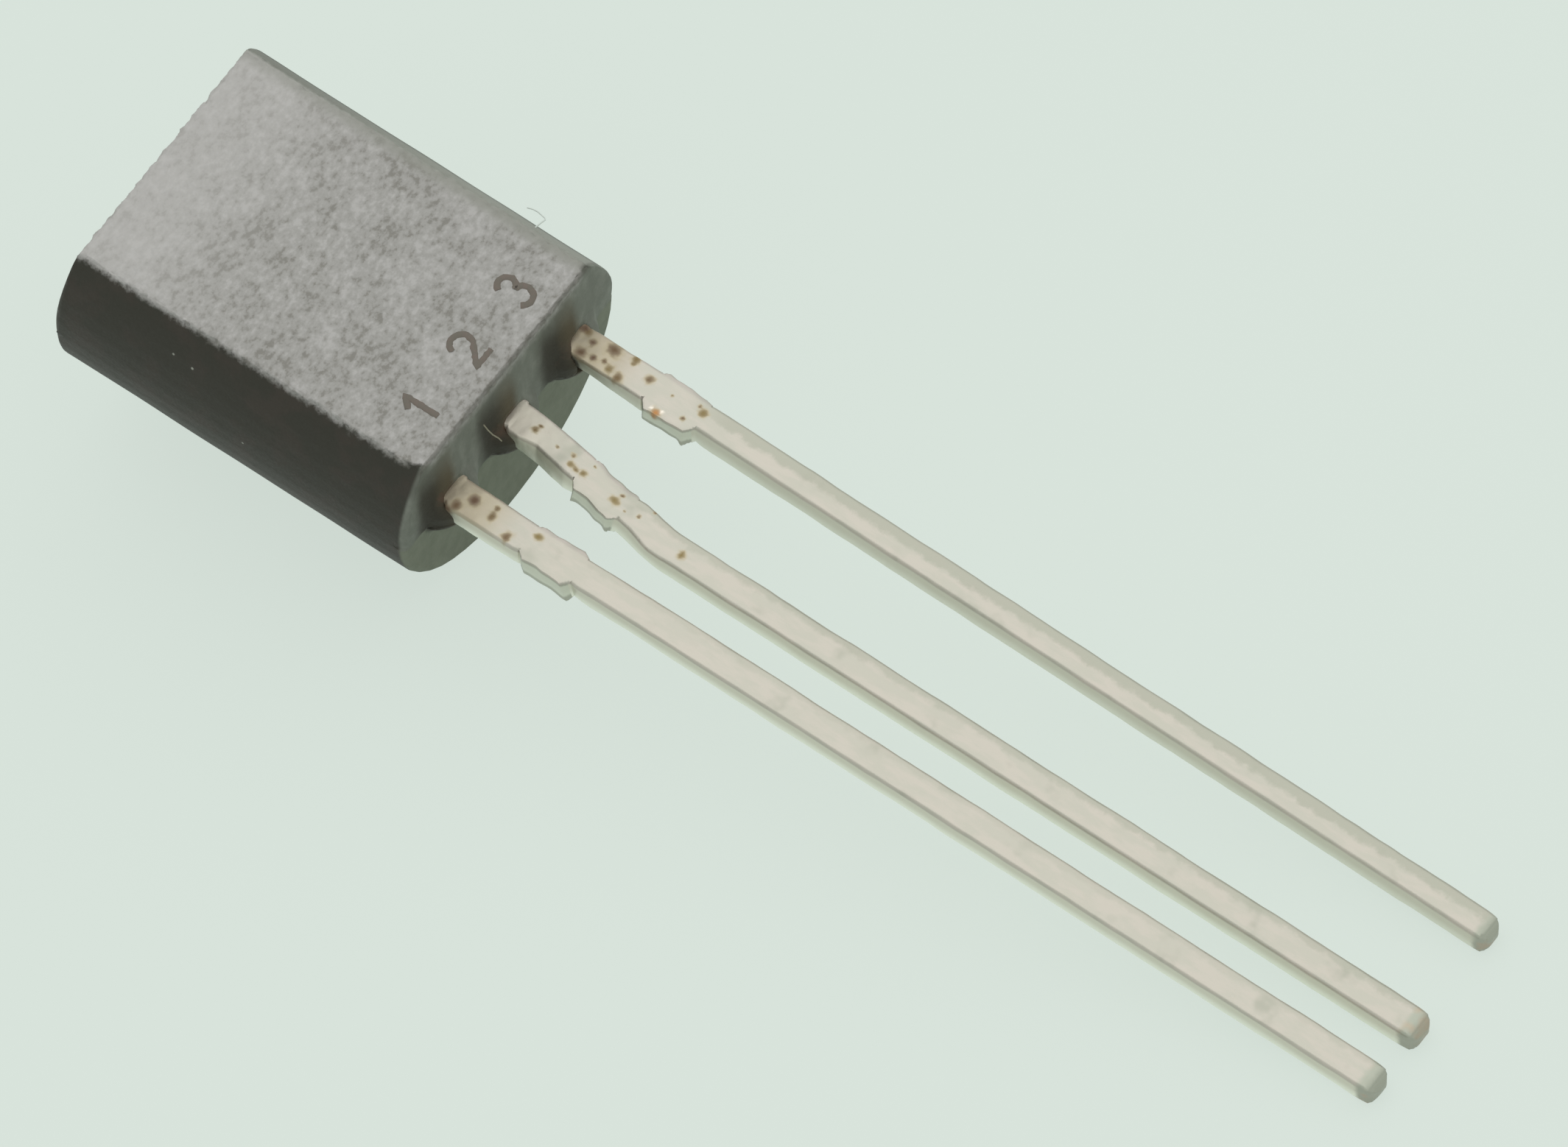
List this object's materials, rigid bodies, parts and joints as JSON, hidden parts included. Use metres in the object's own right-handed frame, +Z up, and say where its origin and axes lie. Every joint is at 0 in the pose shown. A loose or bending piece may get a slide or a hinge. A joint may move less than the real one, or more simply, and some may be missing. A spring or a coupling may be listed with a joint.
{
  "type": "three-lead transistor",
  "caption": "Plastic-cased through-hole transistor: a D-shaped moulded body with a flat face and stiff tinned leads that solder into a circuit board.",
  "frame": {"origin": "centre of the bounding box on the surface that the part lies on", "axes": "+X from the body towards the lead tips, +Z up; the part lies flat face up on the foot of its lead end and on its lead tips"},
  "size_m": [0.0194, 0.0044, 0.0043],
  "materials": {
    "moulding_compound": "fine matte grain, paler on the flat face",
    "tinned_lead": "dull tin plating with brown spots near the body",
    "silicon": "polished",
    "chip_solder": "dull",
    "bond_wire": "bright gold"
  },
  "bodies": {
    "root": {"moulded_body": "moulding_compound", "collector_lead": "tinned_lead", "base_lead": "tinned_lead", "emitter_lead": "tinned_lead", "silicon_chip": "silicon", "chip_solder": "chip_solder", "base_bond_wire": "bond_wire", "emitter_bond_wire": "bond_wire"}
  },
  "joints": []
}
